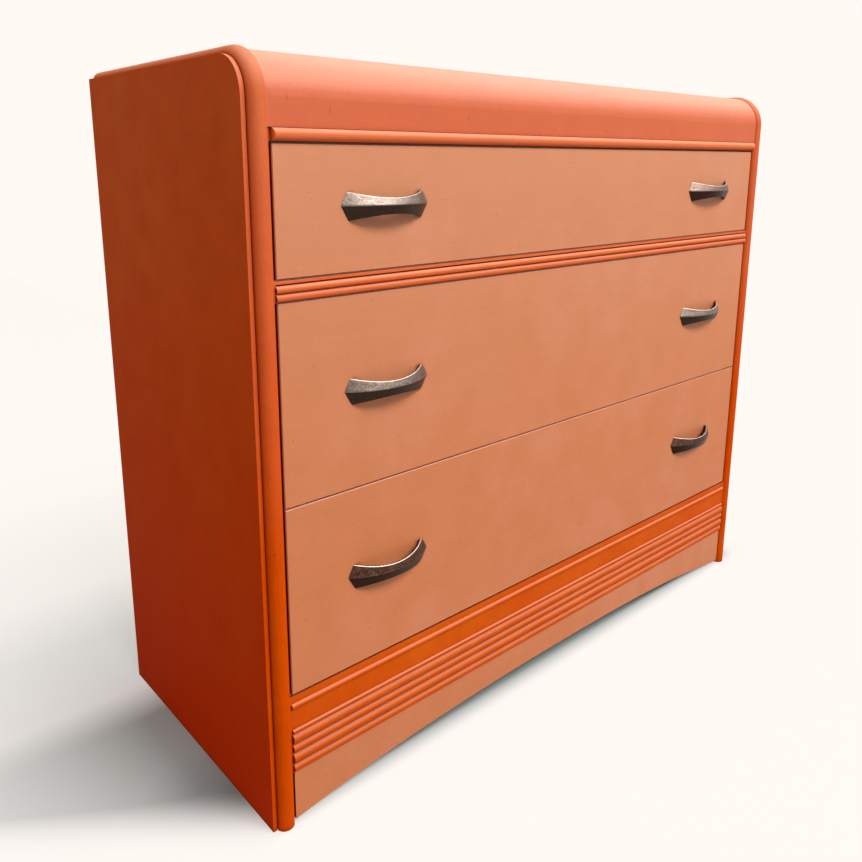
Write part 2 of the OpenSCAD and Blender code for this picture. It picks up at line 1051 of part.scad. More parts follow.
module low_handle_screws() {
    color(steel)
        at_face()
            handle_screw_set(low_z + low_front_h / 2 + handle_up);
}

side_left();
side_right();
edge_moulding_left();
edge_moulding_right();
waterfall_top();
top_bead();
top_front_rail();
top_cleat_left();
top_cleat_right();
top_back_rail();
divider_rail();
divider_moulding();
lower_rail();
frieze_moulding();
reeded_moulding();
apron();
apron_blocks();
corner_block_left();
corner_block_right();
back_panel();
bottom_back_rail();
top_runner_left();
top_runner_right();
middle_runner_left();
middle_runner_right();
low_runner_left();
low_runner_right();
runner_screws_left();
runner_screws_right();
top_drawer_front();
top_drawer_side_left();
top_drawer_side_right();
top_drawer_back();
top_drawer_bottom();
top_drawer_bearer();
top_handle_left();
top_handle_right();
top_handle_screws();
middle_drawer_front();
middle_drawer_side_left();
middle_drawer_side_right();
middle_drawer_back();
middle_drawer_bottom();
middle_drawer_bearer();
middle_handle_left();
middle_handle_right();
middle_handle_screws();
low_drawer_front();
low_drawer_side_left();
low_drawer_side_right();
low_drawer_back();
low_drawer_bottom();
low_drawer_bearer();
low_handle_left();
low_handle_right();
low_handle_screws();
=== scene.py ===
# %% [markdown]
# # A painted waterfall chest of drawers
#
# A waterfall chest has a top sheet that bends down over its front in one curve. This one was painted
# over with two colours of furniture paint, burnt orange on the body and pale terracotta on the
# drawers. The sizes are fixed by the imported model, which is loaded first and never moved. What
# Blender adds is what the eye reads as real: the brush marks in the paint, the worn metal of the
# handles, the filled joints, the grain of the wood inside, and the light.

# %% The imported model
import json
import math
import random

import bpy
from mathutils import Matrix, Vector, noise


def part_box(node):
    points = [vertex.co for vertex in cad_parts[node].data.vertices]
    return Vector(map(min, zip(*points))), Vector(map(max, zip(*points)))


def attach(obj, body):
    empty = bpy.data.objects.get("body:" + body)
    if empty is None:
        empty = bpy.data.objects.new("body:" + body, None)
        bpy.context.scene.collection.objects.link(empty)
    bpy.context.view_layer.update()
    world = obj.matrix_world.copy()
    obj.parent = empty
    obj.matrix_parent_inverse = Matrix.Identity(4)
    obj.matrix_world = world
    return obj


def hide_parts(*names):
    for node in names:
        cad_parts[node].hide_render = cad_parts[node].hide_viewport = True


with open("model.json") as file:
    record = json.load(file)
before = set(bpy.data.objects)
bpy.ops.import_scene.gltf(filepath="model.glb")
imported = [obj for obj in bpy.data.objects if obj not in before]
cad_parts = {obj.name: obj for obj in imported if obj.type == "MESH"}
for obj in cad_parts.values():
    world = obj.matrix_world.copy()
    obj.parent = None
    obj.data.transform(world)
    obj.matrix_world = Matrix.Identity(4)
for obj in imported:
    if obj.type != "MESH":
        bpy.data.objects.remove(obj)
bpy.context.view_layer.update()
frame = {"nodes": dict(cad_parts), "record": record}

# %% [markdown]
# ## Units and names
#
# Blender counts in metres, and a cabinet maker in millimetres. One constant turns the second into
# the first, so that every size below reads as it would on a drawing. The drawers come in three rows,
# and each row has a handle on the left and one on the right.

# %% Millimetres, rows and sides
MM = 0.001
ROWS = ("top", "middle", "low")
SIDES = ("left", "right")
print("a millimetre is", MM, "m; rows", ROWS, "and sides", SIDES)

# %% [markdown]
# ## The camera
#
# The photograph was taken with a phone held at the height of the upper drawer, close to the chest
# and off its left corner. The place and the lens come from the directions of the chest's own edges:
# three families of parallel lines fix the direction of view, and the known width fixes the
# distance. The picture was cropped a little from above, so the lens is shifted down by a tenth of
# the frame and not tilted, which keeps the upright edges as they are.

# %% Camera
PHOTO_SIDE = 862
FOCAL_PIXELS = 804.05
AXIS_PIXEL = (428.7, 338.7)
LEVEL, LOOK_DOWN, ROLL, TURN_RIGHT = 90, 12.52, -0.18, 41.44
SENSOR_WIDTH = 36
NEAREST = 20
camera_place = Vector((-807.7, -805.4, 689.9)) * MM

camera = bpy.data.objects.new("camera", bpy.data.cameras.new("camera"))
bpy.context.scene.collection.objects.link(camera)
bpy.context.scene.camera = camera
camera.location = camera_place
camera.rotation_euler = [math.radians(angle) for angle in (LEVEL - LOOK_DOWN, ROLL, -TURN_RIGHT)]
camera.data.sensor_width = SENSOR_WIDTH
camera.data.lens = FOCAL_PIXELS / PHOTO_SIDE * SENSOR_WIDTH
camera.data.shift_x = (PHOTO_SIDE / 2 - AXIS_PIXEL[0]) / PHOTO_SIDE
camera.data.shift_y = (AXIS_PIXEL[1] - PHOTO_SIDE / 2) / PHOTO_SIDE
camera.data.clip_start = NEAREST * MM
print(f"lens {camera.data.lens:.1f} mm, shift {camera.data.shift_x:.3f} {camera.data.shift_y:.3f}")

# %% [markdown]
# ## Helpers for colour and for shader nodes
#
# A colour picked from a screen is an sRGB hex value, but a shader works with linear light. One
# function turns the first into the second. Another adds a node, gives it its settings and fills its
# inputs: a socket is linked, and anything else is written into the input. In a Mix node of colours
# the inputs 0, 6 and 7 are the amount and the two colours, and output 2 is the result. In a Mix of
# plain numbers they are 0, 2 and 3, and output 0.

# %% Colour and node helpers
def linear(hex_code):
    """An sRGB hex colour as linear values with full opacity."""
    parts = [int(hex_code[i:i + 2], 16) / 255 for i in (1, 3, 5)]
    return (*(p / 12.92 if p <= 0.04045 else ((p + 0.055) / 1.055) ** 2.4 for p in parts), 1.0)


def add(tree, kind, inputs=None, **settings):
    """Adds a node of this kind to the tree, with its settings and its inputs."""
    node = tree.nodes.new("ShaderNode" + kind)
    for name, value in settings.items():
        setattr(node, name, value)
    for name, value in (inputs or {}).items():
        if isinstance(value, bpy.types.NodeSocket):
            tree.links.new(value, node.inputs[name])
        else:
            node.inputs[name].default_value = value
    return node


def new_material(name):
    """An empty material with its output and its shader, ready for the nodes of a finish."""
    material = bpy.data.materials.new(name)
    material.use_nodes = True
    tree = material.node_tree
    tree.nodes.clear()
    shader = add(tree, "BsdfPrincipled")
    add(tree, "OutputMaterial", {"Surface": shader.outputs["BSDF"]})
    return material, tree, shader


print("burnt orange in linear light:", [round(c, 3) for c in linear("#D95A0C")[:3]])

# %% [markdown]
# ## The floor
#
# The chest stands on a seamless pale sweep, a roll of matt paper with no corner behind it. A bent
# sheet could be built for that. A flat square is enough here, because it turns into the same cream
# as the world behind it before it ends, so no horizon shows.

# %% Floor sheet
cream = linear("#FFFAF4")
FLOOR_REACH = 40.0
floor_mesh = bpy.data.meshes.new("floor")
corners = [(x, y, 0) for x, y in ((-1, -1), (1, -1), (1, 1), (-1, 1))]
floor_mesh.from_pydata([Vector(corner) * FLOOR_REACH for corner in corners], [], [(0, 1, 2, 3)])
floor = bpy.data.objects.new("floor", floor_mesh)
bpy.context.scene.collection.objects.link(floor)
print("floor", 2 * FLOOR_REACH, "m across")

# %% [markdown]
# ## How far the floor is out of the shade
#
# The picture shows a soft shade. It is deepest against the left side, ends within a few centimetres
# at the front and the right, and thins out slowly towards the back. A lamp gives it its direction,
# but edges as soft as these would need a lamp too large for the handles' shadows. So the paper
# itself is darker near the chest. The value off counts how far a point lies past the foot of the
# chest, faster on some sides than on others. The value clear runs from 0 in the shade to 1 where
# the paper is plain. In front of the left foot it also rises across a slanting line.

# %% Shade round the chest
FOOT_X, FOOT_BACK, FOOT_FRONT = 0.457, 0.09, 0.15
HASTE_LEFT, HASTE_RIGHT, HASTE_BACK, HASTE_FRONT = 1.0, 12.0, 3.6, 18.0
SLOW_START, SLOW_RISE, FAR_RISE = 0.19, 0.5, 1.1
SHADE_REACH, PAPER_REACH = 0.03, 0.53
SLANT, SLANT_FROM, SLANT_TO = (-0.85, -1.0, 0), 0.475, 0.6
floor_paper, tree, shader = new_material("matt_paper_sweep")
place = add(tree, "TexCoord").outputs["Object"]
way = add(tree, "SeparateXYZ", {0: place})


def past(coordinate, foot, haste):
    """How far the floor point lies outside one side of the chest, from 0 to 1, counted in haste."""
    return add(tree, "Math", {0: way.outputs[coordinate], 1: haste, 2: -abs(haste) * foot},
               operation="MULTIPLY_ADD", use_clamp=True).outputs["Value"]


beside = add(tree, "Math", {0: past("X", FOOT_X, -HASTE_LEFT), 1: past("X", FOOT_X, HASTE_RIGHT)},
             operation="ADD")
slow = add(tree, "Math", {0: way.outputs["Y"], 1: SLOW_RISE, 2: SLOW_START}, operation="MULTIPLY_ADD")
farther = add(tree, "Math", {0: way.outputs["Y"], 1: FAR_RISE}, operation="MULTIPLY")
slow = add(tree, "Math", {0: slow.outputs["Value"], 1: farther.outputs["Value"]}, operation="MAXIMUM")
behind = add(tree, "Math", {0: past("Y", FOOT_BACK, HASTE_BACK), 1: slow.outputs["Value"]},
             operation="MINIMUM")
behind = add(tree, "Math", {0: behind.outputs["Value"], 1: past("Y", FOOT_FRONT, -HASTE_FRONT)},
             operation="MAXIMUM")
off = add(tree, "CombineXYZ", {0: beside.outputs["Value"], 1: behind.outputs["Value"]})
off = add(tree, "VectorMath", {0: off.outputs["Vector"]}, operation="LENGTH")
clear = add(tree, "MapRange", {"Value": off.outputs["Value"], "From Min": SHADE_REACH,
                               "From Max": PAPER_REACH})
slant = add(tree, "VectorMath", {0: place, 1: SLANT}, operation="DOT_PRODUCT")
slant = add(tree, "MapRange", {"Value": slant.outputs["Value"], "From Min": SLANT_FROM, "From Max": SLANT_TO},
            interpolation_type="SMOOTHSTEP")
clear = add(tree, "Math", {0: clear.outputs["Result"], 1: slant.outputs["Result"]}, operation="MAXIMUM")
print("shade from", SHADE_REACH, "to", PAPER_REACH, "m off the foot of the chest")

# %% [markdown]
# ## The paper
#
# Paper is a plain matt surface with no gloss at all. Its tone goes from grey in the shade to more
# than white, which lifts the lit floor to the cream of the picture. Close round the left front foot
# it is darker still, as in any narrow corner. Light that has bounced meets an even grey instead, so
# that this drawn shade puts no false light on the chest. Further off, the camera and the gloss see
# the plain cream.

# %% Paper
SHADE_TONE, FOOT_TONE, PAPER_TONE = (0.41, 0.468, 0.456, 1), (0.2, 0.24, 0.235, 1), (1.1, 1.1, 1.1, 1)
BOUNCE_TONE = linear("#A9A6A2")
LEFT_FOOT, FOOT_REACH = (-0.47, -0.12, 0), 0.12
PAPER_START = 0.8
foot = add(tree, "VectorMath", {0: place, 1: LEFT_FOOT}, operation="DISTANCE")
foot = add(tree, "MapRange", {"Value": foot.outputs["Value"], "From Max": FOOT_REACH,
                              "To Min": 1.0, "To Max": 0.0})
lit = add(tree, "Mix", {0: foot.outputs["Result"], 6: SHADE_TONE, 7: FOOT_TONE}, data_type="RGBA")
lit = add(tree, "Mix", {0: clear.outputs["Value"], 6: lit.outputs[2], 7: PAPER_TONE}, data_type="RGBA")
ray = add(tree, "LightPath")
lit = add(tree, "Mix", {0: ray.outputs["Is Camera Ray"], 6: BOUNCE_TONE, 7: lit.outputs[2]}, data_type="RGBA")
tree.links.new(lit.outputs[2], shader.inputs["Base Color"])
shader.inputs["Roughness"].default_value = 0.9
shader.inputs["Specular IOR Level"].default_value = 0.0

seen = add(tree, "Math", {0: ray.outputs["Is Camera Ray"], 1: ray.outputs["Is Glossy Ray"]},
           operation="MAXIMUM")
far = add(tree, "MapRange", {"Value": off.outputs["Value"], "From Min": PAPER_REACH,
                             "From Max": 2 * PAPER_REACH, "To Min": PAPER_START, "To Max": 1.0})
far = add(tree, "Math", {0: clear.outputs["Value"], 1: far.outputs["Result"]}, operation="MULTIPLY")
far = add(tree, "Math", {0: far.outputs["Value"], 1: seen.outputs["Value"]}, operation="MULTIPLY")
paper = add(tree, "Emission", {"Color": cream, "Strength": 1.0})
blend = add(tree, "MixShader", {0: far.outputs["Value"], 1: shader.outputs["BSDF"],
                                2: paper.outputs["Emission"]})
tree.links.new(blend.outputs["Shader"], tree.nodes["Material Output"].inputs["Surface"])
floor_mesh.materials.append(floor_paper)
print("paper:", floor_paper.name, "plain cream from", 2 * PAPER_REACH, "m off the chest")

# %% [markdown]
# ## The world
#
# The camera, gloss and glass see the world as cream. The light that it gives is another matter: a
# room's walls send back a soft fill from all round, here more from the left than from the right and
# least from above. A Light Path node keeps the two apart, so the fill can be set low without making
# the background dark.

# %% World
FILL_LEFT, FILL_RIGHT, FILL_ABOVE = 0.555, 0.25, 0.12
ABOVE_FROM, ABOVE_TO = 0.15, 0.75
world = bpy.data.worlds.new("studio")
world.use_nodes = True
bpy.context.scene.world = world
tree = world.node_tree
tree.nodes.clear()
ray = add(tree, "LightPath")
seen = add(tree, "Math", {0: ray.outputs["Is Camera Ray"], 1: ray.outputs["Is Glossy Ray"]},
           operation="MAXIMUM")
seen = add(tree, "Math", {0: seen.outputs["Value"], 1: ray.outputs["Is Transmission Ray"]},
           operation="MAXIMUM")
way = add(tree, "SeparateXYZ", {0: add(tree, "TexCoord").outputs["Generated"]})
around = add(tree, "MapRange", {"Value": way.outputs["X"], "From Min": -1.0, "From Max": 1.0,
                                "To Min": FILL_LEFT, "To Max": FILL_RIGHT})
upward = add(tree, "MapRange", {"Value": way.outputs["Z"], "From Min": ABOVE_FROM, "From Max": ABOVE_TO})
fill = add(tree, "Mix", {0: upward.outputs["Result"], 2: around.outputs["Result"], 3: FILL_ABOVE})
strength = add(tree, "Mix", {0: seen.outputs["Value"], 2: fill.outputs[0], 3: 1.0})
sky = add(tree, "Background", {"Color": cream, "Strength": strength.outputs[0]})
add(tree, "OutputWorld", {"Surface": sky.outputs["Background"]})
bpy.context.scene.view_settings.view_transform = "Standard"
print("cream world, fill", FILL_LEFT, "to", FILL_RIGHT, "and", FILL_ABOVE, "above")

# %% [markdown]
# ## The lamps
#
# The light of the photograph comes from the right, from in front and from above. The large key box
# stands there, far enough off to light the whole front evenly. It throws the shadow to the left and
# leaves the left side in shade. The front box hangs high before the middle of the chest, and lays
# the short soft shadow under each handle. The small rim box behind the left corner lifts the edge
# of the top. The shine box is a wide sheet overhead that adds nothing to the colour of a surface
# and is seen only in its gloss. It draws the bright band along the curve and on the upper faces of
# the handles.

# %% Soft boxes
def soft_box(name, place, aim, width, height, watts):
    """A rectangular area lamp at a place, turned towards a point. All lengths are in metres."""
    data = bpy.data.lights.new(name, "AREA")
    data.shape = "RECTANGLE"
    data.size, data.size_y = width, height
    data.energy = watts
    lamp = bpy.data.objects.new(name, data)
    bpy.context.scene.collection.objects.link(lamp)
    lamp.location = place
    lamp.rotation_euler = (Vector(aim) - Vector(place)).to_track_quat("-Z", "Y").to_euler()
    return lamp


soft_box("key_box", (5.5, -6.5, 6.2), (0, 0, 0.4), 3.2, 3.2, 265)
soft_box("front_box", (0.15, -3.2, 3.9), (0, -0.2, 0.4), 2.6, 1.4, 153)
soft_box("rim_box", (-1.6, 0.6, 3.4), (-0.4, 0, 0.5), 1.0, 1.0, 14)
shine_box = soft_box("shine_box", (0.4, -0.5, 3.0), (0, -0.1, 0.7), 5.0, 4.5, 420)
shine_box.visible_diffuse = False
shine_box.data.use_shadow = False

# %% [markdown]
# ## Painted wood: patches
#
# The body and the drawers carry an eggshell furniture paint, put on over old varnish with a short
# roller and laid off with a brush. Such a coat is never quite one colour. Where it lies thick or
# thin, patches a few centimetres wide are a shade pinker or browner. They could be painted into an
# image. Here two noise patterns of different width mix three shades, which has no seams and needs
# no unwrapping. All patterns use the object's own coordinates in metres, so each scale is one over
# a real length.

# %% Patches
PATCH, BROAD_PATCH = 45, 160


def patchy(tree, place, colour, pinker, browner):
    """Three shades of one paint in patches. Gives the colour and the finer of the two patterns."""
    broad = add(tree, "TexNoise", {"Vector": place, "Scale": 1 / (BROAD_PATCH * MM), "Detail": 2.0})
    patch = add(tree, "TexNoise", {"Vector": place, "Scale": 1 / (PATCH * MM), "Detail": 4.0,
                                   "Roughness": 0.6})
    to_pink = add(tree, "MapRange", {"Value": broad.outputs["Fac"], "From Min": 0.42, "From Max": 0.66})
    to_brown = add(tree, "MapRange", {"Value": patch.outputs["Fac"], "From Min": 0.4, "From Max": 0.8})
    tone = add(tree, "Mix", {0: to_pink.outputs["Result"], 6: linear(colour), 7: linear(pinker)},
               data_type="RGBA")
    tone = add(tree, "Mix", {0: to_brown.outputs["Result"], 6: tone.outputs[2], 7: linear(browner)},
               data_type="RGBA")
    return tone.outputs[2], patch.outputs["Fac"]


print("patches", PATCH, "and", BROAD_PATCH, "mm wide")

# %% [markdown]
# ## Painted wood: painted highlight and painted shade
#
# The paint is painted paler higher up on the front and on whatever faces the ceiling, such as the
# upper half of every bead: a painted highlight for the light from above. Near the floor the flat
# sides are painted redder and darker: a painted shade. Both could be painted on by hand. Here they
# come from which way the surface faces and how high it lies.

# %% Painted highlight and painted shade near the floor
HIGHLIGHT_FROM, HIGHLIGHT_TO, HIGHLIGHT_FRONT = 0.3, 0.8, 0.5
FRONT_RISE, FRONT_START = -0.75, 0.25
UP_FROM, UP_TO, HIGHLIGHT_UP = 0.1, 0.85, 0.9
FLAT_SIDE = 0.9
LOW_SHADE_FROM, LOW_SHADE_TO = 0.6, 0.05


def painted_highlight(tree, facing, way, tone, highlight_tone):
    """Mixes a paler colour in as a painted highlight, towards the top of the front and on faces that look up.
    """
    high = add(tree, "MapRange", {"Value": way.outputs["Z"], "From Min": HIGHLIGHT_FROM,
                                  "From Max": HIGHLIGHT_TO, "To Max": HIGHLIGHT_FRONT})
    front = add(tree, "Math", {0: facing.outputs["Y"], 1: FRONT_RISE, 2: FRONT_START},
                operation="MULTIPLY_ADD", use_clamp=True)
    high = add(tree, "Math", {0: high.outputs["Result"], 1: front.outputs["Value"]}, operation="MULTIPLY")
    up = add(tree, "MapRange", {"Value": facing.outputs["Z"], "From Min": UP_FROM, "From Max": UP_TO,
                                "To Max": HIGHLIGHT_UP})
    highlight = add(tree, "Math", {0: high.outputs["Value"], 1: up.outputs["Result"]}, operation="ADD",
                 use_clamp=True)
    return add(tree, "Mix", {0: highlight.outputs["Value"], 6: tone, 7: linear(highlight_tone)},
               data_type="RGBA").outputs[2]


def painted_low_shade(tree, facing, way, tone, low):
    """Painted shade: mixes a redder and darker colour in on the flat sides, more and more towards the floor.
    """
    sideways = add(tree, "Math", {0: facing.outputs["X"]}, operation="ABSOLUTE")
    sideways = add(tree, "MapRange", {"Value": sideways.outputs["Value"], "From Min": FLAT_SIDE})
    near = add(tree, "MapRange", {"Value": way.outputs["Z"], "From Min": LOW_SHADE_FROM, "From Max": LOW_SHADE_TO})
    near = add(tree, "Math", {0: near.outputs["Result"], 1: sideways.outputs["Result"]},
               operation="MULTIPLY")
    return add(tree, "Mix", {0: near.outputs["Value"], 6: tone, 7: linear(low)},
               data_type="RGBA").outputs[2]


# Prints where the painted highlight and the painted shade near the floor begin.
print("bleached from", HIGHLIGHT_FROM, "m up, stained from", LOW_SHADE_FROM, "m down")

# %% [markdown]
# ## Painted wood: brush marks, dirt and painted shade
#
# Fine ridges run the way the brush went, and between them lies the small grain of the roller. Both
# are drawn about twice as coarse as real ones, so that they show in a picture of the whole chest.
# Ridges in the mesh would need millions of faces, so these only give a height for the bump and a
# slight change of tone. Dirt and a thicker coat gather in every groove, and ambient occlusion finds
# each groove and darkens it, partly as dirt and partly as painted shade. A few specks are pits or
# dirt in the paint: one in each cell of a flat pattern that is wrapped round the front.

# %% Brush marks, grooves and specks
GRAIN, RELIEF = 1.9, 0.25
GROOVE, GROOVE_DEEP, GROOVE_OPEN = 5, 0.45, 0.95
SPECK_FULL, SPECK_END = 0.3, 0.9


def brushed(tree, place, brush):
    """The brush marks, and the height that they make together with the grain of the roller."""
    marks = add(tree, "Mapping", {"Vector": place, "Scale": [1 / (side * MM) for side in brush]})
    marks = add(tree, "TexNoise", {"Vector": marks.outputs["Vector"], "Scale": 1.0, "Detail": 2.0})
    grain = add(tree, "TexNoise", {"Vector": place, "Scale": 1 / (GRAIN * MM), "Detail": 2.0,
                                   "Roughness": 0.6})
    height = add(tree, "Mix", {0: 0.75, 2: marks.outputs["Fac"], 3: grain.outputs["Fac"]})
    return marks.outputs["Fac"], height.outputs[0]


def groove_dirt_and_shade(tree, tone, dirt_and_shade):
    """Darkens every groove narrower than a few millimetres, as dirt and painted shade together."""
    groove = add(tree, "AmbientOcclusion", {"Distance": GROOVE * MM}, samples=6)
    groove = add(tree, "MapRange", {"Value": groove.outputs["AO"], "From Min": GROOVE_DEEP,
                                    "From Max": GROOVE_OPEN, "To Min": 1.0, "To Max": 0.0})
    return add(tree, "Mix", {0: groove.outputs["Result"], 6: tone, 7: linear(dirt_and_shade)},
               data_type="RGBA").outputs[2]


def specked(tree, way, tone, stretch, patch_width, hides):
    """A speck under two millimetres wide in each patch, stretched and hiding part of the paint."""
    level = add(tree, "Math", {0: way.outputs["X"], 1: way.outputs["Y"]}, operation="ADD")
    drop = add(tree, "Math", {0: way.outputs["Z"], 1: way.outputs["Y"]}, operation="ADD")
    drop = add(tree, "Math", {0: drop.outputs["Value"], 1: 1 / stretch}, operation="MULTIPLY")
    sheet = add(tree, "CombineXYZ", {0: level.outputs["Value"], 1: drop.outputs["Value"]})
    speck = add(tree, "TexVoronoi", {"Vector": sheet.outputs["Vector"], "Scale": 1 / (patch_width * MM)},
                voronoi_dimensions="2D")
    speck = add(tree, "MapRange", {"Value": speck.outputs["Distance"], "From Min": SPECK_FULL / patch_width,
                                   "From Max": SPECK_END / patch_width, "To Min": hides, "To Max": 0.0})
    return add(tree, "Mix", {0: speck.outputs["Result"], 6: tone, 7: linear("#6A2408")},
               data_type="RGBA").outputs[2]


print("roller grain", GRAIN, "mm, grooves to", GROOVE, "mm")

# %% [markdown]
# ## Painted wood: where the paint ends
#
# Nobody paints what a closed drawer hides. The back of a drawer front, the underside of the top and
# the inner faces of the sides are bare. One could split the meshes and give each face its own
# material. Here the paint itself ends at limits in space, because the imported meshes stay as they
# are, and a face that lies past every limit shows wood. A band is how far the paint runs back from
# the plane of the drawer faces, and a skin moves a limit clear of the face that it belongs to.

# %% Bare wood past the paint
def bare_past(tree, way, tone, marks, limits):
    """Wood past all the limits (axis, place in metres, direction). X counts from the middle out."""
    across = add(tree, "Math", {0: way.outputs["X"]}, operation="ABSOLUTE")
    cut = {"X": across.outputs["Value"], "Y": way.outputs["Y"], "Z": way.outputs["Z"]}
    wood = None
    for axis, limit, direction in limits:
        over = add(tree, "Math", {0: cut[axis], 1: limit}, operation="SUBTRACT")
        over = add(tree, "Math", {0: over.outputs["Value"], 1: direction / MM}, operation="MULTIPLY")
        over = add(tree, "Math", {0: over.outputs["Value"], 1: 0.5}, operation="ADD", use_clamp=True)
        if wood is not None:
            over = add(tree, "Math", {0: wood.outputs["Value"], 1: over.outputs["Value"]},
                       operation="MULTIPLY")
        wood = over
    timber = add(tree, "Mix", {0: marks, 6: linear("#C39A6B"), 7: linear("#97703F")}, data_type="RGBA")
    return add(tree, "Mix", {0: wood.outputs["Value"], 6: tone, 7: timber.outputs[2]},
               data_type="RGBA").outputs[2]


FRONT_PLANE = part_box("top_drawer_front")[0][1]
INNER_SIDE = -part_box("side_left")[1][0]
UNDER_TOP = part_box("top_back_rail")[1][2]
SIDE_BAND, TOP_BAND, DRAWER_BAND = 30, 15.5, 13
SIDE_SKIN, TOP_SKIN = 0.5, 0.4
UNDERSIDE = ("Z", UNDER_TOP + TOP_SKIN * MM, -1)
SIDE_LIMITS = [("X", INNER_SIDE + SIDE_SKIN * MM, -1), ("Y", FRONT_PLANE + SIDE_BAND * MM, 1), UNDERSIDE]
TOP_LIMITS = [("Y", FRONT_PLANE + TOP_BAND * MM, 1), UNDERSIDE]
DRAWER_LIMITS = [("Y", FRONT_PLANE + DRAWER_BAND * MM, 1)]
print("drawer faces at", round(FRONT_PLANE / MM, 1), "mm, under the top", round(UNDER_TOP / MM, 1), "mm")

# %% [markdown]
# ## Painted wood: the finished paint
#
# Eggshell shines softly, and most at a glancing angle. Paint is a plastic skin, so its IOR is that
# of acrylic. Its specular level is kept low on the orange, because a pale gleam over a saturated
# colour turns it to salmon. The curve of the top was rubbed down and shines more. The sides and the
# edge mouldings stand in shade, and get a shaded copy of the orange: redder, with a paler groove
# colour, as painted shade. One orange for the whole body would be simpler, but it would miss these
# differences. Each set below holds four shades of one colour: plain, pinker, browner and the
# painted highlight.

# %% Paint
def eggshell_paint(name, colour, pinker, browner, highlight_tone, brush, shine, bare=(), dirt_and_shade="#7A1C00",
                   fleck=(1.0, 75, 0.6), low=None):
    """Rolled and brushed eggshell paint. brush is the length of a brush mark along X, Y and Z in mm,
    and bare the limits past which wood shows. The fourth colour is the painted highlight, and the
    groove colour is that of the dirt and painted shade in its grooves. fleck is how many times longer
    than wide a speck is, the width in mm of the patch that holds one, and how much of the paint it
    hides. low is the colour of the painted shade on its flat sides near the floor."""
    material, tree, shader = new_material(name)
    object_space = add(tree, "TexCoord")
    place = object_space.outputs["Object"]
    way = add(tree, "SeparateXYZ", {0: place})
    facing = add(tree, "SeparateXYZ", {0: object_space.outputs["Normal"]})
    tone, patch = patchy(tree, place, colour, pinker, browner)
    # Painted highlight: paler towards the top of the front and on faces that look up.
    tone = painted_highlight(tree, facing, way, tone, highlight_tone)
    # Painted shade: redder and darker on the flat sides near the floor.
    if low:
        tone = painted_low_shade(tree, facing, way, tone, low)
    marks, height = brushed(tree, place, brush)
    fine = add(tree, "MapRange", {"Value": height, "From Min": 0.35, "From Max": 0.65,
                                  "To Min": 0.95, "To Max": 1.04})
    tone = add(tree, "VectorMath", {0: tone, "Scale": fine.outputs["Result"]}, operation="SCALE")
    # Dirt and painted shade darken the grooves.
    tone = groove_dirt_and_shade(tree, tone.outputs["Vector"], dirt_and_shade)
    tone = specked(tree, way, tone, *fleck)
    if bare:
        tone = bare_past(tree, way, tone, marks, bare)
    relief = add(tree, "Bump", {"Height": height, "Strength": 0.5, "Distance": RELIEF * MM})
    dull = add(tree, "MapRange", {"Value": patch, "To Min": 0.44, "To Max": 0.56})
    tree.links.new(tone, shader.inputs["Base Color"])
    tree.links.new(dull.outputs["Result"], shader.inputs["Roughness"])
    tree.links.new(relief.outputs["Normal"], shader.inputs["Normal"])
    shader.inputs["IOR"].default_value = 1.49
    shader.inputs["Specular IOR Level"].default_value = shine
    return material


ALONG, UPRIGHT = (90, 2.4, 2.4), (2.4, 2.4, 90)
# The last shade of each set is the colour of the painted highlight.
ORANGE = ("#DF5A06", "#E2620E", "#D65004", "#FD9B72")
TOP_ORANGE = ("#D6520A", "#DA5A12", "#CC4A06", "#DB7D5B")
# A shaded copy of the orange for the sides and edge mouldings: redder as painted shade, with a paler groove
# colour and painted shade near the floor.
SHADED_SIDE_ORANGE = ("#E25202", "#E25A06", "#D64A00", "#E68C68")
TERRACOTTA = ("#D88152", "#DB875E", "#D27B48", "#DA9C78")
burnt_orange = eggshell_paint("eggshell_paint_burnt_orange", *ORANGE, ALONG, 0.05)
shaded_side_orange = eggshell_paint("eggshell_paint_burnt_orange_shaded_sides", *SHADED_SIDE_ORANGE, UPRIGHT, 0.01, SIDE_LIMITS,
                             "#A43400", low="#D53600")
top_orange = eggshell_paint("eggshell_paint_burnt_orange_top", *TOP_ORANGE, ALONG, 0.25, TOP_LIMITS,
                            fleck=(4.0, 24, 0.4))
terracotta = eggshell_paint("eggshell_paint_pale_terracotta", *TERRACOTTA, ALONG, 0.35, DRAWER_LIMITS)
print("paints:", [paint.name for paint in (burnt_orange, shaded_side_orange, top_orange, terracotta)])

# %% [markdown]
# ## Bare wood
#
# The boxes, rails and runners are planed beech gone brown with age. A board is a slice out of a
# tree, so its figure is made the same way: rings around a heart that lies beside the board, a little
# wavy along the grain, and cut by the board's own faces. Straight cuts show lines, and the ends show
# arcs, without any drawing for each face. The fibres are drawn near a millimetre wide, as real ones
# are too fine to show. The back is birch plywood, and its outer sheet has the same figure.

# %% Planed wood
HEART = (0.09, 0.05, 0.31)
YEAR_RING, FIBRE = 3.2, 0.9
WAVE, WANDER, STAIN = 30, 14, 110
ALONG_GRAIN = 0.06


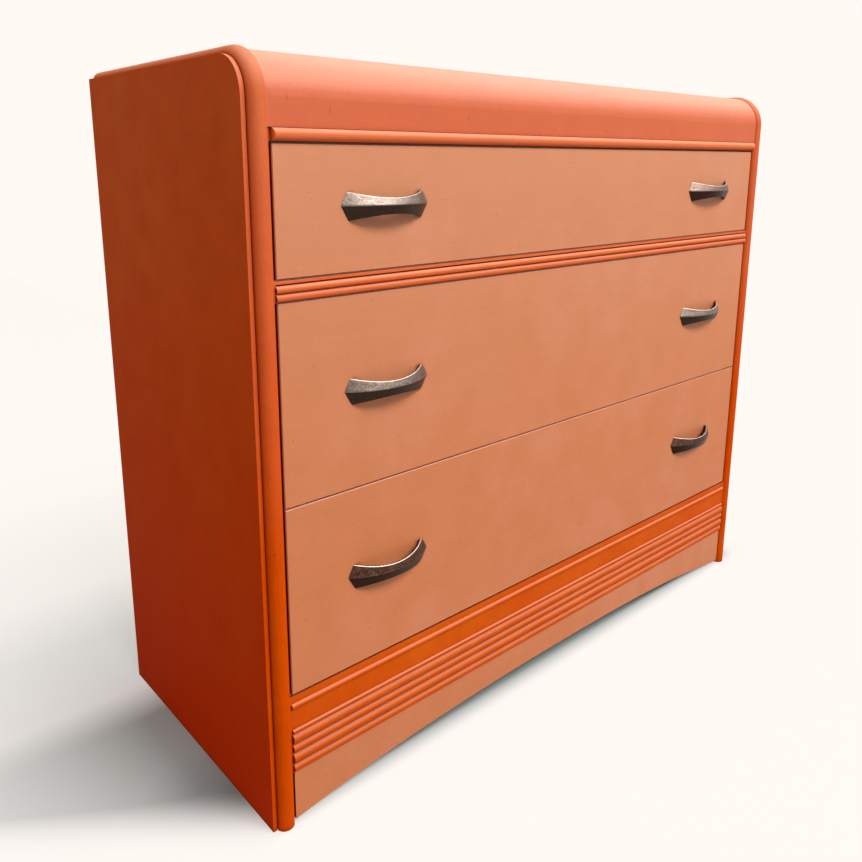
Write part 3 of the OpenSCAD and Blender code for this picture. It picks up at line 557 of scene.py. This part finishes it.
def planed_wood(name, early, late, grain):
    """Old planed wood with its grain along X, Y or Z."""
    material, tree, shader = new_material(name)
    along = "XYZ".index(grain)
    stretch, flat = [1.0, 1.0, 1.0], [1.0, 1.0, 1.0]
    stretch[along], flat[along] = ALONG_GRAIN, 0.0
    place = add(tree, "TexCoord").outputs["Object"]
    wood = add(tree, "Mapping", {"Vector": place, "Scale": stretch})
    wave = add(tree, "TexNoise", {"Vector": wood.outputs["Vector"], "Scale": 1 / (WAVE * MM), "Detail": 2.0})
    bend = add(tree, "VectorMath", {0: wave.outputs["Color"], "Scale": WANDER * MM}, operation="SCALE")
    bent = add(tree, "VectorMath", {0: place, 1: bend.outputs["Vector"]}, operation="ADD")
    heart = add(tree, "VectorMath", {0: bent.outputs["Vector"], 1: flat}, operation="MULTIPLY")
    heart = add(tree, "VectorMath", {0: heart.outputs["Vector"], 1: HEART}, operation="SUBTRACT")
    radius = add(tree, "VectorMath", {0: heart.outputs["Vector"]}, operation="LENGTH")

    # Each year ring darkens slowly and ends sharply
    ring = add(tree, "Math", {0: radius.outputs["Value"], 1: YEAR_RING * MM}, operation="DIVIDE")
    ring = add(tree, "Math", {0: ring.outputs["Value"]}, operation="FRACT")
    ring = add(tree, "MapRange", {"Value": ring.outputs["Value"], "From Max": 0.85, "To Max": 0.7},
               interpolation_type="SMOOTHSTEP")
    fibre = add(tree, "TexNoise", {"Vector": wood.outputs["Vector"], "Scale": 1 / (FIBRE * MM),
                                   "Detail": 3.0})
    figure = add(tree, "Mix", {0: 0.35, 2: ring.outputs["Result"], 3: fibre.outputs["Fac"]})
    tone = add(tree, "Mix", {0: figure.outputs[0], 6: linear(early), 7: linear(late)}, data_type="RGBA")

    # Stains as wide as a hand
    stain = add(tree, "TexNoise", {"Vector": place, "Scale": 1 / (STAIN * MM), "Detail": 3.0})
    aged = add(tree, "MapRange", {"Value": stain.outputs["Fac"], "To Min": 0.72, "To Max": 1.2})
    tone = add(tree, "VectorMath", {0: tone.outputs[2], "Scale": aged.outputs["Result"]}, operation="SCALE")
    relief = add(tree, "Bump", {"Height": fibre.outputs["Fac"], "Strength": 0.4, "Distance": 0.15 * MM})
    tree.links.new(tone.outputs["Vector"], shader.inputs["Base Color"])
    tree.links.new(relief.outputs["Normal"], shader.inputs["Normal"])
    shader.inputs["Roughness"].default_value = 0.62
    shader.inputs["IOR"].default_value = 1.5
    return material


beech = {axis: planed_wood(f"planed_beech_grain_{axis.lower()}", "#C9A57A", "#A67C50", axis)
         for axis in "XYZ"}
plywood = planed_wood("birch_plywood", "#C4A173", "#A9824F", "X")
print("woods:", [material.name for material in beech.values()], plywood.name)

# %% [markdown]
# ## Antique bronze
#
# The handles are folded from brass strip with an antique bronze finish, which is a brown skin over
# the metal. Hands have worn it off the edges and the high spots of the hammered face, and there the
# pale metal shows. A shader can find sharp edges by itself, but not the faces that a finger
# reaches. So two vertex values, set where the mesh is made, say how much: worn at the edges, and a
# second value on the lower face and the back, which no finger touches, where the brown skin stays
# and a painted shade darkens it further. The handles of the top row are the palest, the left one
# more than the right, and those of the lowest row are brown: lighter and darker copies of the bronze
# that paint in how much bright reflection each handle catches.

# %% Handle metal
# The dark skin of the lower face and the back is also a painted shade.
SHADE_AND_UNRUBBED_SKIN, EDGE_BRASS = linear("#28160D"), linear("#B3A89D")
CLOUD, HAMMER_MARK = 6, 1.5


def antique_bronze(name, skin, rubbed):
    """Brass with a brown bronze skin that hands have rubbed thin."""
    material, tree, shader = new_material(name)
    place = add(tree, "TexCoord").outputs["Object"]
    worn = add(tree, "Attribute", attribute_name="worn")
    shade_and_unrubbed = add(tree, "Attribute", attribute_name="shade_and_unrubbed")
    cloud = add(tree, "TexNoise", {"Vector": place, "Scale": 1 / (CLOUD * MM), "Detail": 4.0,
                                   "Roughness": 0.65})
    mark = add(tree, "TexNoise", {"Vector": place, "Scale": 1 / (HAMMER_MARK * MM), "Detail": 2.0})
    both = add(tree, "Mix", {0: 0.6, 2: cloud.outputs["Fac"], 3: mark.outputs["Fac"]})
    thin = add(tree, "MapRange", {"Value": both.outputs[0], "From Min": 0.42, "From Max": 0.66,
                                  "To Max": 0.6})
    thin = add(tree, "Math", {0: thin.outputs["Result"], 1: worn.outputs["Fac"]}, operation="ADD",
               use_clamp=True)
    tone = add(tree, "Mix", {0: thin.outputs["Value"], 6: linear(skin), 7: linear(rubbed)},
               data_type="RGBA")
    # Painted shade: the lower face and the back are mixed towards the dark skin.
    tone = add(tree, "Mix", {0: shade_and_unrubbed.outputs["Fac"], 6: tone.outputs[2], 7: SHADE_AND_UNRUBBED_SKIN},
               data_type="RGBA")
    rim = add(tree, "MapRange", {"Value": worn.outputs["Fac"], "From Min": 0.5, "From Max": 1.0})
    tone = add(tree, "Mix", {0: rim.outputs["Result"], 6: tone.outputs[2], 7: EDGE_BRASS},
               data_type="RGBA")
    dull = add(tree, "MapRange", {"Value": cloud.outputs["Fac"], "To Min": 0.3, "To Max": 0.5})
    relief = add(tree, "Bump", {"Height": mark.outputs["Fac"], "Strength": 0.6, "Distance": 0.2 * MM})
    tree.links.new(tone.outputs[2], shader.inputs["Base Color"])
    tree.links.new(dull.outputs["Result"], shader.inputs["Roughness"])
    tree.links.new(relief.outputs["Normal"], shader.inputs["Normal"])
    shader.inputs["Metallic"].default_value = 1.0
    return material


# Lighter and darker copies of the bronze for the rows and for the top right handle: a painted reflection of
# how much light each handle catches.
bronze = {"top": antique_bronze("antique_bronze_top_row_painted_reflection", "#645750", "#8F8279"),
          "top_right": antique_bronze("antique_bronze_top_right_painted_reflection", "#58473F", "#84736A"),
          "middle": antique_bronze("antique_bronze_middle_row_painted_reflection", "#60514A", "#988A80"),
          "low": antique_bronze("antique_bronze_low_row_painted_reflection", "#3A231A", "#75594C")}
print("bronze:", [metal.name for metal in bronze.values()])

# %% [markdown]
# ## Zinc plated steel
#
# The screws and the nails are steel with a thin coat of zinc. New zinc is bright, and it turns dull
# and cloudy in a few years, so two greys are mixed by a noise of a few millimetres.

# %% Screw and nail metal
DULL_SPOT = 2
zinc, tree, shader = new_material("zinc_plated_steel")
place = add(tree, "TexCoord").outputs["Object"]
cloud = add(tree, "TexNoise", {"Vector": place, "Scale": 1 / (DULL_SPOT * MM)})
tone = add(tree, "Mix", {0: cloud.outputs["Fac"], 6: linear("#8E8D88"), 7: linear("#B9B8B2")},
           data_type="RGBA")
tree.links.new(tone.outputs[2], shader.inputs["Base Color"])
shader.inputs["Metallic"].default_value = 1.0
shader.inputs["Roughness"].default_value = 0.38
print("steel:", zinc.name)

# %% [markdown]
# ## Dressing the imported pieces
#
# Each imported piece already has the shape of the real one, so it only needs its finish. The record
# says which slot a piece belongs to. Wood also needs to know which way its grain runs, which is
# along the length of the piece, so the longest side of its box decides.

# %% Finishes for the imported pieces
# The sides and the edge mouldings take the shaded copy of the orange.
orange_for = {"side_left": shaded_side_orange, "side_right": shaded_side_orange, "waterfall_top": top_orange,
              "edge_moulding_left": shaded_side_orange, "edge_moulding_right": shaded_side_orange}
for part in frame["record"]["subparts"]:
    node, slot = frame["nodes"][part["node"]], part["material_slot"]
    low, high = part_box(part["node"])
    sides = [high[i] - low[i] for i in range(3)]
    longest = "XYZ"[sides.index(max(sides))]
    finish = {"carcass_paint": orange_for.get(part["node"], burnt_orange),
              "drawer_paint": terracotta, "raw_wood": beech[longest], "plywood": plywood,
              "handle_metal": bronze["top"], "steel": zinc}[slot]
    node.data.materials.clear()
    node.data.materials.append(finish)

# %% [markdown]
# ## The bow handles: shape
#
# Each handle is a strip of brass folded lengthwise to a shallow V, bent into a bow and waisted in
# the middle. Its two pointed ends stand on the drawer. A flat strip could be bent by modifiers, but
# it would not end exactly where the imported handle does. So the bow is worked out as an arc through
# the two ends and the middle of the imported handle, and each side of the waist is an arc too. STRIP
# is the thickness, FOLD how far a face falls back for each millimetre of height, FOLD_ROUND the
# rounding of the ridge and RIDGE_UP its height above the middle. All lengths are in millimetres.

# %% Shape of the strip
STRIP, FOLD, FOLD_ROUND, RIDGE_UP = 2.3, 0.35, 0.35, 1.2
MID_HEIGHT, WAIST_LENGTH = 16, 94
handle_low, handle_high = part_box("top_handle_left")
handle_length, handle_out, handle_height = [(handle_high[i] - handle_low[i]) / MM for i in range(3)]
bow_radius = (handle_length ** 2 / 4 + handle_out ** 2) / (2 * handle_out)
bow_centre = bow_radius - handle_out
waist = (handle_height - MID_HEIGHT) / 2
waist_radius = (WAIST_LENGTH ** 2 / 4 + waist ** 2) / (2 * waist)


def half_height(x):
    """Half the height of the strip at x from its middle, narrow in the middle."""
    if abs(x) > WAIST_LENGTH / 2:
        return handle_height / 2
    arc = math.sqrt(waist_radius ** 2 - x * x)
    return min(handle_height / 2, MID_HEIGHT / 2 + waist_radius - arc)


print(f"strip {handle_length:.0f} long, {handle_height:.0f} high, stands out {handle_out:.0f} mm, "
      f"bow radius {bow_radius:.1f} mm")

# %% [markdown]
# ## The bow handles: points
#
# In the mesh the front and the back of the strip are two grids of points. A grid follows the bend
# exactly, and its points can be moved in by a tenth of a millimetre for the hammered face, which a
# flat extrusion could not show. The dents fade out at the rim and at the ridge, where a hammer
# would not leave them. A point's height and its place along the bow depend on each other a little,
# so both are worked out in a few rounds.

# %% Points of the strip
ACROSS, DOWN = 96, 26
ROUNDS = 5
DENT, DENTS_ALONG, DENTS_UP = 0.2, 11, 2.4
END_FADE, RIM_FADE, RIDGE_FADE = 12, 5, 6
TOP_EDGE, RIDGE, RIDGE_WEAR = 0.12, 0.06, 0.35


def strip_point(u, v, back, seed):
    """A point of the strip in mm: u along it and v up it, from -1 to 1, on the front or the back."""
    x = u * handle_length / 2
    for _ in range(ROUNDS):
        z = v * half_height(x) + RIDGE_UP * (1 - abs(v))
        fold = math.sqrt((z - RIDGE_UP) ** 2 + FOLD_ROUND ** 2) - FOLD_ROUND
        radius = bow_radius - FOLD * fold - (STRIP if back else 0)
        x = u * math.sqrt(radius ** 2 - bow_centre ** 2)
    if not back:
        fade = min(1.0, (1 - abs(u)) * END_FADE, (1 - abs(v)) * RIM_FADE)
        dent = noise.fractal(Vector((u * DENTS_ALONG, v * DENTS_UP, seed)), 0.8, 2.0, 2)
        radius += DENT * fade * min(1.0, abs(v) * RIDGE_FADE) * min(0.0, dent)
        x = u * math.sqrt(radius ** 2 - bow_centre ** 2)
    return Vector((x, bow_centre - math.sqrt(radius ** 2 - x * x), z))


def wear(v):
    """How far the brown skin is worn off at height v: most at the top edge, then at the ridge."""
    top_edge = max(0.0, (v - 1 + TOP_EDGE) / TOP_EDGE)
    ridge = max(0.0, 1 - abs(v) / RIDGE) * RIDGE_WEAR
    return min(1.0, max(top_edge, ridge))


print("grid", ACROSS, "by", DOWN, "on each face, dents to", DENT, "mm")

# %% [markdown]
# ## The bow handles: screw bosses
#
# A bow handle can't take a screw in its thin strip. Two short round bosses run from the drawer to
# the back of the strip, and the screws end in them. Seen from the side and from above they are the
# only thing between the drawer and the bow. A ready-made cylinder is cut square, so each boss is
# two rings of points instead, and its outer ring follows the slope of the strip and is buried one
# millimetre in it. The filler and the nails further down are rings of points too, so one function
# joins them all.

# %% Screw bosses
SCREW_SPACING = 76
BOSS_RADIUS, BOSS_STEPS, BOSS_BURIED = 3.6, 24, 1.0


def join_rings(faces, first, width, rings, turned=False):
    """Joins rings of width points from the first point on, and closes both ends."""
    skin = []
    for ring in range(rings - 1):
        for k in range(width):
            a, b = first + ring * width + k, first + ring * width + (k + 1) % width
            skin.append((a, b, b + width, a + width))
    last = first + (rings - 1) * width
    skin.append(tuple(first + k for k in reversed(range(width))))
    skin.append(tuple(last + k for k in range(width)))
    faces += [face[::-1] for face in skin] if turned else skin


def add_boss(points, faces, foot, x):
    """A round boss from the drawer into the back of the strip, cut to the slope of the strip."""
    first = len(points)
    for outer in (False, True):
        for k in range(BOSS_STEPS):
            turn = 2 * math.pi * k / BOSS_STEPS
            side, up = x + BOSS_RADIUS * math.cos(turn), BOSS_RADIUS * math.sin(turn)
            back_radius = bow_radius - STRIP - FOLD * abs(up - RIDGE_UP)
            strip_back = math.sqrt(back_radius ** 2 - side ** 2) - bow_centre
            out = strip_back + BOSS_BURIED if outer else 0.0
            points.append(foot + Vector((side, -out, up)) * MM)
    join_rings(faces, first, BOSS_STEPS, 2)


print("bosses", 2 * BOSS_RADIUS, "mm thick,", SCREW_SPACING, "mm apart")

# %% [markdown]
# ## The bow handles: mesh
#
# The two grids are joined all round by a rim, and the bosses are added to the same mesh. One
# function turns points and faces into a piece, and the filler and the nails further down use it
# too. It shades the piece smooth, and keeps each edge crisp that turns by more than an angle.

# %% From points to a piece
def smooth_piece(name, points, faces, finish, crisp):
    """A new piece from points and faces, smooth up to an angle in degrees, with its finish."""
    mesh = bpy.data.meshes.new(name)
    mesh.from_pydata(points, [], faces)
    mesh.polygons.foreach_set("use_smooth", [True] * len(faces))
    mesh.set_sharp_from_angle(angle=math.radians(crisp))
    mesh.materials.append(finish)
    piece = bpy.data.objects.new(name, mesh)
    bpy.context.scene.collection.objects.link(piece)
    return piece


def strip_faces(faces):
    """The faces of the front grid, the back grid and the rim between them."""
    row, sheet = DOWN + 1, (ACROSS + 1) * (DOWN + 1)
    for i in range(ACROSS):
        for j in range(DOWN):
            a = i * row + j
            faces.append((a, a + row, a + row + 1, a + 1))
            faces.append((a + sheet, a + sheet + 1, a + sheet + row + 1, a + sheet + row))
    edge = [i * row for i in range(ACROSS + 1)] + [ACROSS * row + j for j in range(1, row)]
    edge += [i * row + DOWN for i in reversed(range(ACROSS))] + [j for j in reversed(range(1, DOWN))]
    for a, b in zip(edge, edge[1:] + edge[:1]):
        faces.append((b, a, a + sheet, b + sheet))


print("each grid has", ACROSS * DOWN, "faces")

# %% [markdown]
# ## The bow handles: a whole handle
#
# The columns of the grids lie closer together towards the ends, where the bow turns most. Two
# values are stored at each point for the metal: how worn it is, and how far the lower face and the
# back are dark with unrubbed skin and painted shade. A real edge is never quite sharp, so a bevel
# rounds it as the polishing wheel does. The rounding could be part of the grids, but a modifier
# follows every later change of the shape.

# %% Building a handle
SHADE_AND_UNRUBBED_BACK, SHADE_AND_UNRUBBED_BELOW, SHADE_AND_UNRUBBED_RISE = 0.7, 0.88, 12
EVEN, DENSER = 0.65, 0.35
POLISH = 0.45


def bow_handle(name, node_name, metal, seed):
    """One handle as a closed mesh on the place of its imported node."""
    low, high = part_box(node_name)
    foot = Vector(((low[0] + high[0]) / 2, high[1], (low[2] + high[2]) / 2))
    steps_u = [math.sin(math.pi / 2 * (2 * i / ACROSS - 1)) * DENSER + (2 * i / ACROSS - 1) * EVEN
               for i in range(ACROSS + 1)]
    steps_v = [2 * j / DOWN - 1 for j in range(DOWN + 1)]
    points, faces, worn, shade_and_unrubbed = [], [], [], []
    for back in (False, True):
        for u in steps_u:
            for v in steps_v:
                points.append(foot + strip_point(u, v, back, seed) * MM)
                worn.append(0.0 if back else wear(v))
                # The lower face is darkened as unrubbed skin and painted shade.
                below = min(SHADE_AND_UNRUBBED_BELOW, max(0.0, -v * SHADE_AND_UNRUBBED_RISE))
                shade_and_unrubbed.append(SHADE_AND_UNRUBBED_BACK if back else below)
    strip_faces(faces)
    for side in (-1, 1):
        add_boss(points, faces, foot, side * SCREW_SPACING / 2)
    boss_points = len(points) - len(worn)
    worn += [0.0] * boss_points
    shade_and_unrubbed += [SHADE_AND_UNRUBBED_BACK] * boss_points

    handle = smooth_piece(name, points, faces, metal, crisp=30)
    for stored, values in (("worn", worn), ("shade_and_unrubbed", shade_and_unrubbed)):
        handle.data.attributes.new(stored, "FLOAT", "POINT").data.foreach_set("value", values)
    polished = handle.modifiers.new("polished_edges", "BEVEL")
    polished.width = POLISH * MM
    polished.segments = 2
    polished.limit_method = "ANGLE"
    polished.angle_limit = math.radians(33)
    return handle


print("edges rounded to", POLISH, "mm")

# %% [markdown]
# ## The bow handles: in their places
#
# Each handle takes the place of its imported node, which is hidden, and rides on the drawer of its
# row. Its own seed gives every handle its own dents.

# %% Six handles
SEED_STEP = 3.7
handles = []
for number, (row, side) in enumerate((row, side) for row in ROWS for side in SIDES):
    node_name = f"{row}_handle_{side}"
    # The top right handle takes a darker copy, a painted reflection.
    metal = bronze["top_right" if node_name == "top_handle_right" else row]
    handle = bow_handle(f"{row}_bow_handle_{side}", node_name, metal, SEED_STEP * number)
    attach(handle, f"{row}_drawer")
    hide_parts(node_name)
    handles.append(handle)
print("made", len(handles), "handles of", len(handle.data.vertices), "points")

# %% [markdown]
# ## The filled joints: profiles
#
# Where the top sheet and the front rails meet the rounded edge mouldings, a groove runs along each
# joint. Before painting it was filled, so the paint runs across. Beside the drawers the groove stays
# open. The filler is a thin strip with one profile, which is the shape that a finger leaves when it
# wipes the groove: flush with the flat side and rising a little up the moulding. On the right of the
# curve it has shrunk by a millimetre, and a fine line shows there. Each point of a profile is given
# in mm towards the moulding and in mm out from the plane of the drawer faces.

# %% Profiles of the filler
POST_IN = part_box("edge_moulding_left")[1][0]
sheet_low, sheet_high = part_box("waterfall_top")
SHEET_OUT = (FRONT_PLANE - sheet_low[1]) / MM
FILL_SHEET = ((-0.5, -1.5), (-0.5, SHEET_OUT + 0.03), (0.8, SHEET_OUT + 0.06), (2.2, SHEET_OUT + 0.2),
              (3.3, SHEET_OUT + 0.55), (4.25, SHEET_OUT + 0.9), (1.2, -1.5))
FILL_SUNK = ((-0.5, -1.5), (-0.5, SHEET_OUT - 1.0), (0.4, SHEET_OUT - 0.98), (1.6, SHEET_OUT - 0.9),
             (2.5, SHEET_OUT - 0.75), (0.9, -1.5))
FILL_RAIL = ((-0.5, -2.0), (-0.5, 0.03), (0.2, 0.06), (0.9, 0.3), (1.9, 0.75), (0.6, -2.0))
print("top sheet stands out", round(SHEET_OUT, 2), "mm")

# %% [markdown]
# ## The filled joints: sweeping a profile
#
# The strip is made by setting the profile down again and again along a path, each time turned so
# that its outward side follows the joint, and joining each copy to the next. A curve object with a
# bevel could do that too, but it would not keep the two directions of the profile apart so simply.
# On the left (side 1) the points run one way round and on the right (side -1) the other, so the
# faces are turned there to look outwards on both.

# %% Sweeping the filler
def fill_joint(points, faces, profile, path, side):
    """Sweeps a profile along a path of places and outward directions, on one side of the chest."""
    first = len(points)
    for foot, outward in path:
        for inward, out in profile:
            place = foot + outward * (out * MM)
            points.append((side * (POST_IN - inward * MM), place[1], place[2]))
    join_rings(faces, first, len(profile), len(path), turned=side < 0)


def filler(name, runs, finish):
    """One piece of all the runs of filler with the same finish, on both sides."""
    points, faces = [], []
    for profile, path, side in runs:
        fill_joint(points, faces, profile, path, side)
    piece = smooth_piece(name, points, faces, finish, crisp=35)
    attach(piece, "carcass")
    return piece


print("profiles of", len(FILL_SHEET), len(FILL_SUNK), "and", len(FILL_RAIL), "points")

# %% [markdown]
# ## The filled joints: paths
#
# The long joint goes up the front from the bead, round the waterfall curve in small steps and back
# over the top. The short ones are straight: at the bead, at the rail between the drawers and at the
# plinth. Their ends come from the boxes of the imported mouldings.

# %% Filler in the joints
FALL_RADIUS = 40 * MM
FALL_STEPS = 40
FORWARD, UPWARD = Vector((0, -1, 0)), Vector((0, 0, 1))
turn_height = sheet_high[2] - SHEET_OUT * MM - FALL_RADIUS
bend_centre = Vector((0, FRONT_PLANE + FALL_RADIUS, turn_height))
fall_path = [(Vector((0, FRONT_PLANE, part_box("top_bead")[1][2])), FORWARD)]
for step in range(FALL_STEPS + 1):
    turn = math.pi / 2 * step / FALL_STEPS
    outward = FORWARD * math.cos(turn) + UPWARD * math.sin(turn)
    fall_path.append((bend_centre + outward * FALL_RADIUS, outward))
fall_path.append((Vector((0, sheet_high[1], turn_height + FALL_RADIUS)), UPWARD))
rail_heights = [(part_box(low)[0][2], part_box(high)[1][2]) for low, high in
                (("top_bead", "top_bead"), ("divider_moulding", "divider_moulding"),
                 ("reeded_moulding", "frieze_moulding"))]
rail_runs = [(FILL_RAIL, [(Vector((0, FRONT_PLANE, z)), FORWARD) for z in heights], side)
             for heights in rail_heights for side in (1, -1)]
filler("joint_filler_top", [(FILL_SHEET, fall_path, 1), (FILL_SUNK, fall_path, -1)], top_orange)
filler("joint_filler_front", rail_runs, burnt_orange)
print("filled joints:", 2 + len(rail_runs))

# %% [markdown]
# ## Nails in the back: places
#
# The plywood back is nailed on from behind, a nail every hundred millimetres or so along its edge.
# Nobody measures for such nails, so each is set down up to two millimetres off. The places come
# from a random generator with a fixed seed, and are the same in every run.

# %% Places of the nails
NAIL_SPACING, NAIL_INSET, NAIL_STRAY = 100, 7, 2
panel_low, panel_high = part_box("back_panel")


def nail_places(low, high):
    """Places along one edge, evenly spread between its two ends."""
    start, end = low + NAIL_INSET * MM, high - NAIL_INSET * MM
    spaces = round((end - start) / (NAIL_SPACING * MM))
    return [start + (end - start) * i / spaces for i in range(spaces + 1)]


across, up = nail_places(panel_low[0], panel_high[0]), nail_places(panel_low[2], panel_high[2])
nails = [(x, z) for x in across for z in (up[0], up[-1])]
nails += [(x, z) for x in (across[0], across[-1]) for z in up[1:-1]]
print("nails:", len(nails))

# %% [markdown]
# ## Nails in the back: heads
#
# A nail head is a shallow dome a few millimetres across. Each is a small turned shape: rings of
# points round one axis, sunk a little into the wood so that no gap shows. All are one mesh, because
# they share one finish and never move apart. The profile gives each ring's radius and height in mm.

# %% Nails round the back panel
NAIL_PROFILE = ((1.9, -0.3), (1.9, 0.15), (1.4, 0.4), (0.6, 0.52))
NAIL_STEPS = 12
dice = random.Random(14)
points, faces = [], []
for x, z in nails:
    x, z = x + dice.uniform(-NAIL_STRAY, NAIL_STRAY) * MM, z + dice.uniform(-NAIL_STRAY, NAIL_STRAY) * MM
    first = len(points)
    for radius, out in NAIL_PROFILE:
        for k in range(NAIL_STEPS):
            turn = 2 * math.pi * k / NAIL_STEPS
            points.append((x + radius * MM * math.cos(turn), panel_high[1] + out * MM,
                           z + radius * MM * math.sin(turn)))
    join_rings(faces, first, NAIL_STEPS, len(NAIL_PROFILE), turned=True)
nail_heads = smooth_piece("back_panel_nails", points, faces, zinc, crisp=40)
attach(nail_heads, "carcass")
print("nail heads of", len(points), "points")
